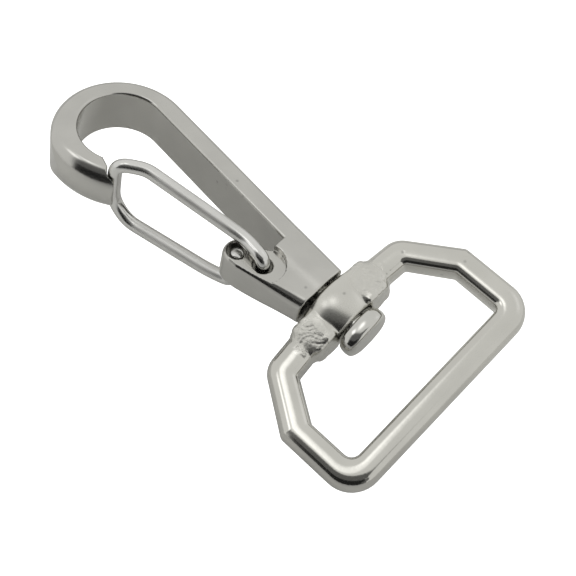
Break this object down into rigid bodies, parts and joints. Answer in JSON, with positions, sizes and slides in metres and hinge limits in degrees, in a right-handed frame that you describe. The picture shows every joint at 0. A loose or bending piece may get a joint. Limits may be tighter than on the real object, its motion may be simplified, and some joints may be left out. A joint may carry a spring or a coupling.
{
  "type": "swivel strap snap hook with wire gate",
  "caption": "Cast stainless snap hook with a sprung bent-wire gate and a swivelling hexagonal strap eye for narrow webbing.",
  "frame": {"origin": "in the middle of the strap bar's inner face, on the swivel axis", "axes": "+X along the swivel axis towards the hook's bowl, +Y towards the side that the gate closes, +Z square to the plane of the hook"},
  "size_m": [0.0659, 0.0326, 0.0158],
  "materials": {
    "cast_stainless": "satin cast and tumbled",
    "polished_stainless": "polished",
    "spring_wire": "bright drawn wire"
  },
  "bodies": {
    "hook": {"hook_body": "cast_stainless", "swivel_rivet": "polished_stainless"},
    "eye": {"strap_eye": "polished_stainless"},
    "gate_near": {"gate_near_leg": "spring_wire"},
    "gate_far": {"gate_far_leg": "spring_wire"}
  },
  "joints": [
    {"name": "eye_swivel", "type": "hinge", "parent": "hook", "child": "eye", "pos_m": [0.01455, 0, 0], "axis": [1, 0, 0], "continuous": true},
    {"name": "gate_hinge", "type": "hinge", "parent": "hook", "child": "gate_near", "pos_m": [0.02525, 0.0039, 0], "axis": [0, 0, -1], "range_deg": [0, 22], "stiffness_Nm_per_rad": 0.1, "springref_deg": -5.73},
    {"name": "gate_twist", "type": "hinge", "parent": "gate_near", "child": "gate_far", "pos_m": [0.04815, 0.0086, 0], "axis": [0, 0, -1], "range_deg": [0, 6]}
  ],
  "couplings": [
    {"joint": "gate_twist", "follows": "gate_hinge", "ratio": 0.19}
  ]
}
